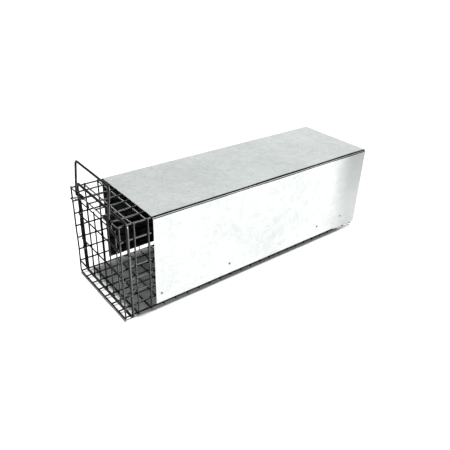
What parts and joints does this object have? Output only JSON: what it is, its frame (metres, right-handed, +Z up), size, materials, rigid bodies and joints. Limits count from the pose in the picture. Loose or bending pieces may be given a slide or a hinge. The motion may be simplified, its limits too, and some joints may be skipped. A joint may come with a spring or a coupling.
{
  "type": "live catch trap",
  "caption": "Walk-in wire cage trap under a sheet steel cover, with a sprung drop door, lever bail, treadle and trigger rod.",
  "frame": {"origin": "bottom centre of the whole object, on the plane it stands on", "axes": "+Z up, +Y along the cage from the entrance to the rear, +X to the right as seen from the entrance"},
  "size_m": [0.191, 0.5948, 0.2445],
  "materials": {
    "galvanised_wire": "dull galvanised welded wire",
    "thick_wire": "dull galvanised drawn wire",
    "ferrule_steel": "dark crimped steel",
    "cover_sheet": "galvanised sheet with a faint spangle",
    "galvanised_sheet": "galvanised sheet",
    "rivet_steel": "plain steel",
    "spring_steel": "dark drawn spring wire",
    "tie_wire": "soft galvanised wire"
  },
  "bodies": {
    "cage": {"floor_mesh": "galvanised_wire", "roof_mesh": "galvanised_wire", "left_side_mesh": "galvanised_wire", "right_side_mesh": "galvanised_wire", "rear_mesh": "galvanised_wire", "entrance_ring": "thick_wire", "ring_ferrule": "ferrule_steel", "ring_ties": "tie_wire", "door_stop": "thick_wire", "cover": "cover_sheet", "cover_rivets": "rivet_steel", "cover_clips": "galvanised_sheet", "door_spring_left": "spring_steel", "door_spring_right": "spring_steel", "rod_guides": "tie_wire", "treadle_bracket_left": "galvanised_sheet", "treadle_bracket_right": "galvanised_sheet", "bracket_clamps": "galvanised_sheet", "bracket_rivets": "rivet_steel"},
    "door": {"lever_bail": "thick_wire", "door_grille": "galvanised_wire"},
    "treadle": {"treadle_plate": "galvanised_sheet", "treadle_rod": "thick_wire", "treadle_arm": "thick_wire", "retaining_rings": "spring_steel"},
    "trigger": {"trigger_rod": "thick_wire"}
  },
  "joints": [
    {"name": "door_hinge", "type": "hinge", "parent": "cage", "child": "door", "pos_m": [0, -0.2931, 0.1818], "axis": [1, 0, 0], "range_deg": [0, 68], "stiffness_Nm_per_rad": 0.12, "springref_deg": -45.84, "deforming": ["door_spring_left", "door_spring_right"]},
    {"name": "treadle_tilt", "type": "hinge", "parent": "cage", "child": "treadle", "pos_m": [0, 0.0244, 0.015], "axis": [1, 0, 0], "range_deg": [0, 4]},
    {"name": "trigger_slide", "type": "slide", "parent": "cage", "child": "trigger", "axis": [0, 1, 0], "range_m": [-0.011, 0]}
  ],
  "couplings": [
    {"joint": "trigger_slide", "follows": "treadle_tilt", "m_per_rad": -0.154}
  ]
}
